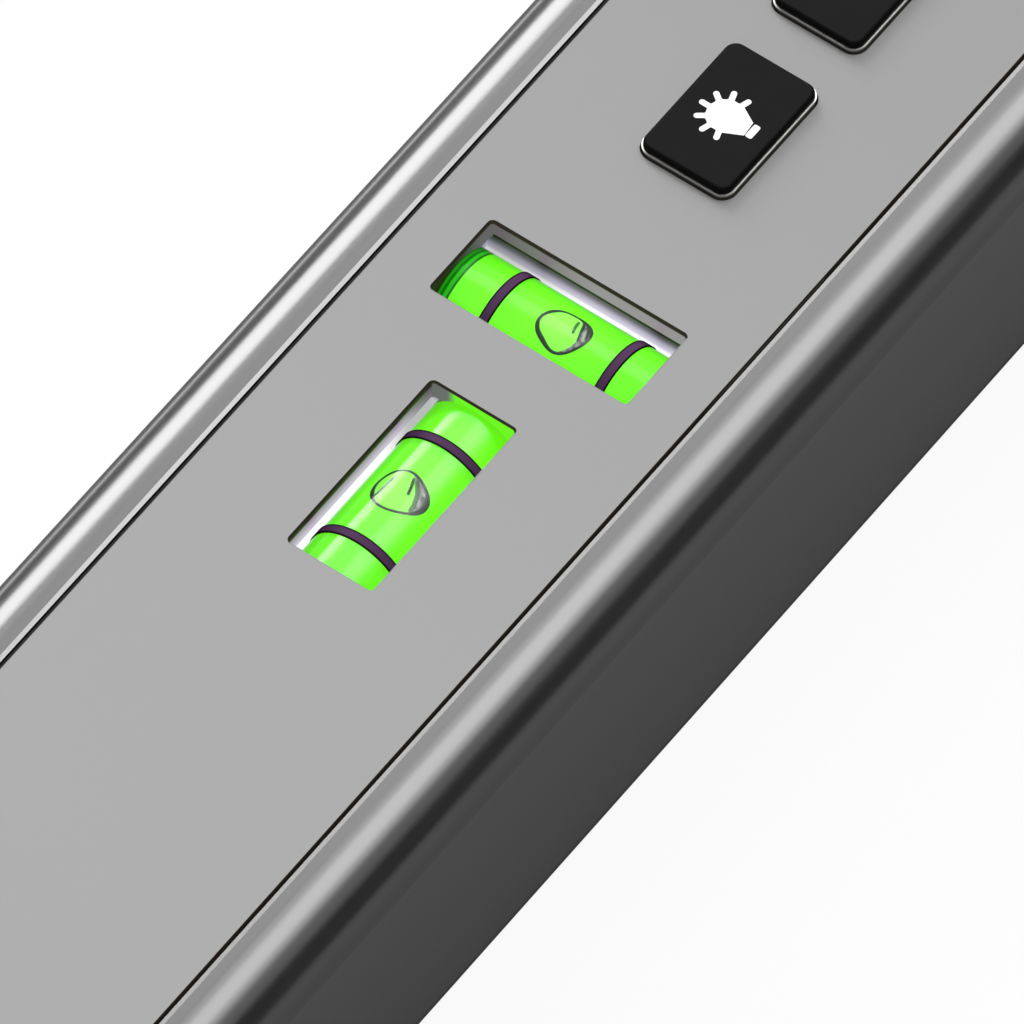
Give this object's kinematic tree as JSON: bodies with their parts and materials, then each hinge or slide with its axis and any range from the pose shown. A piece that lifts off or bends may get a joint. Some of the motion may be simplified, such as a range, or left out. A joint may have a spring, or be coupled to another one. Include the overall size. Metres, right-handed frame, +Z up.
{
  "type": "cross line laser level",
  "caption": "Hand-held bar-shaped cross line laser level with a grey face plate, level and plumb spirit vials, press keys, an end laser window and a tripod thread in its back.",
  "frame": {"origin": "on the surface the bar lies on, under the middle of the bar, with its face up", "axes": "+X along the bar towards the laser window, +Y across the face away from the level's base edge, +Z up out of the face"},
  "size_m": [0.22, 0.047, 0.0293],
  "materials": {
    "channel_anodised": "dark grey satin anodised extrusion",
    "plate_satin": "light grey satin anodised strip",
    "seal_rubber": "black rubber",
    "cap_plastic": "dark grey fine-textured plastic",
    "screw_steel": "zinc plated steel",
    "window_clear": "clear hard-coated window",
    "tray_plastic": "black plastic",
    "cell_sleeve": "plain silver-grey sleeved dry cell",
    "contact_steel": "nickel plated spring steel",
    "lead_red": "red wire insulation",
    "lead_black": "black wire insulation",
    "vial_clear": "clear acrylic tube",
    "vial_liquid": "bright green fluorescent spirit",
    "vial_bubble": "air bubble",
    "vial_ring": "dark printed ring",
    "vial_plug": "dark green plastic plug",
    "cradle_white": "white plastic",
    "board_green": "green solder-masked circuit board",
    "chip_black": "black epoxy",
    "lamp_yellow": "pale yellow lamp body",
    "key_black": "soft-touch black",
    "key_trim": "bright metal trim",
    "dome_silicone": "grey silicone",
    "block_aluminium": "milled aluminium",
    "brass": "turned brass",
    "diode_steel": "gold-washed steel can",
    "lens_glass": "polished optical glass"
  },
  "bodies": {
    "housing": {"barrel_grub_screws": "screw_steel", "battery_tray": "tray_plastic", "block_screws": "screw_steel", "board_chips": "chip_black", "body_channel": "channel_anodised", "collimating_lenses": "lens_glass", "contact_bridge": "contact_steel", "driver_board": "board_green", "face_plate": "plate_satin", "face_seal": "seal_rubber", "front_cell": "cell_sleeve", "horizontal_laser_barrel": "brass", "horizontal_line_lens": "lens_glass", "key_mat": "dome_silicone", "lamp_board": "board_green", "lamp_header": "tray_plastic", "laser_block": "block_aluminium", "laser_diodes": "diode_steel", "laser_window": "window_clear", "left_cap_screws": "screw_steel", "left_end_cap": "cap_plastic", "level_vial_cradle": "cradle_white", "level_vial_liquid": "vial_liquid", "level_vial_plugs": "vial_plug", "level_vial_rings": "vial_ring", "level_vial_tube": "vial_clear", "light_key_dome": "dome_silicone", "line_key_dome": "dome_silicone", "main_board": "board_green", "negative_lead": "lead_black", "negative_terminal": "contact_steel", "plumb_vial_cradle": "cradle_white", "plumb_vial_liquid": "vial_liquid", "plumb_vial_plugs": "vial_plug", "plumb_vial_rings": "vial_ring", "plumb_vial_tube": "vial_clear", "positive_lead": "lead_red", "positive_terminal": "contact_steel", "power_key_dome": "dome_silicone", "rear_cell": "cell_sleeve", "right_cap_screws": "screw_steel", "right_end_cap": "cap_plastic", "tripod_bush": "brass", "vertical_laser_barrel": "brass", "vertical_line_lens": "lens_glass", "vial_lamps": "lamp_yellow", "window_gasket": "seal_rubber"},
    "light_key": {"light_key": "key_black", "light_key_trim": "key_trim"},
    "line_key": {"line_key": "key_black", "line_key_trim": "key_trim"},
    "power_key": {"power_key": "key_black", "power_key_trim": "key_trim"},
    "battery_door": {"battery_door": "cap_plastic"},
    "level_bubble": {"level_vial_bubble": "vial_bubble"},
    "plumb_bubble": {"plumb_vial_bubble": "vial_bubble"}
  },
  "joints": [
    {"name": "light_key_press", "type": "slide", "parent": "housing", "child": "light_key", "axis": [0, 0, -1], "range_m": [0, 0.0006], "stiffness_N_per_m": 600, "deforming": ["light_key_dome"]},
    {"name": "line_key_press", "type": "slide", "parent": "housing", "child": "line_key", "axis": [0, 0, -1], "range_m": [0, 0.0006], "stiffness_N_per_m": 600, "deforming": ["line_key_dome"]},
    {"name": "power_key_press", "type": "slide", "parent": "housing", "child": "power_key", "axis": [0, 0, -1], "range_m": [0, 0.0006], "stiffness_N_per_m": 600, "deforming": ["power_key_dome"]},
    {"name": "battery_door_slide", "type": "slide", "parent": "housing", "child": "battery_door", "axis": [-1, 0, 0], "range_m": [0, 0.075]},
    {"name": "level_bubble_run", "type": "slide", "parent": "housing", "child": "level_bubble", "axis": [1, 0, 0], "range_m": [-0.0065, 0.0065], "stiffness_N_per_m": 0.05},
    {"name": "plumb_bubble_run", "type": "slide", "parent": "housing", "child": "plumb_bubble", "axis": [0, 1, 0], "range_m": [-0.0065, 0.0065], "stiffness_N_per_m": 0.05}
  ]
}
